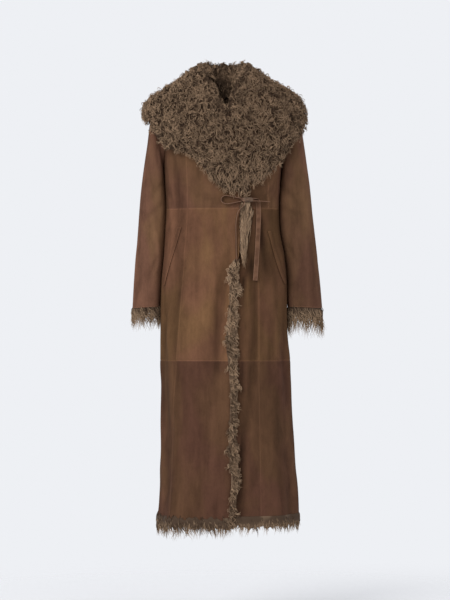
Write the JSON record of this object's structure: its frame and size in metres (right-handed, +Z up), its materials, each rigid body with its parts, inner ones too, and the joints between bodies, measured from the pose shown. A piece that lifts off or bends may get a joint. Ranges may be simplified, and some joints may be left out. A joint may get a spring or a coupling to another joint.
{
  "type": "shearling wrap coat",
  "caption": "Ankle-length wrap coat of suede shearling with a broad curly-wool shawl collar, wool at the hem, cuffs and open front edge, slanted pockets and a narrow waist tie in a bow.",
  "frame": {"origin": "midway between the high points of the two shoulders at the neck, where the wearer's shoulders carry the coat", "axes": "+Z up from hem to neck, -Y out of the front, +X towards the wearer's left"},
  "size_m": [0.572, 0.3233, 1.4255],
  "materials": {
    "suede": "matt napped suede",
    "suede_deep": "matt napped suede, a deeper brown",
    "curly_wool": "long curly lamb's wool with a soft sheen",
    "neck_wool": "curly lamb's wool, darker inside the neck"
  },
  "bodies": {
    "root": {"back_bodice": "suede", "back_hem_wool": "curly_wool", "back_lower": "suede_deep", "back_skirt": "suede", "collar_left": "curly_wool", "collar_right": "curly_wool", "collar_stand": "neck_wool", "front_edge_wool": "curly_wool", "left_cuff_wool": "curly_wool", "left_front_bodice": "suede", "left_front_lower": "suede_deep", "left_front_skirt": "suede", "left_hem_wool": "curly_wool", "left_pocket_welt": "suede_deep", "left_side_bodice": "suede", "left_side_lower": "suede_deep", "left_side_skirt": "suede", "left_sleeve": "suede", "right_cuff_wool": "curly_wool", "right_front_bodice": "suede", "right_front_lower": "suede_deep", "right_front_skirt": "suede", "right_hem_wool": "curly_wool", "right_pocket_welt": "suede_deep", "right_side_bodice": "suede", "right_side_lower": "suede_deep", "right_side_skirt": "suede", "right_sleeve": "suede", "tie_bow": "suede", "tie_knot": "suede", "tie_left_lead": "suede", "tie_left_tail": "suede", "tie_right_lead": "suede", "tie_right_tail": "suede"}
  },
  "joints": []
}
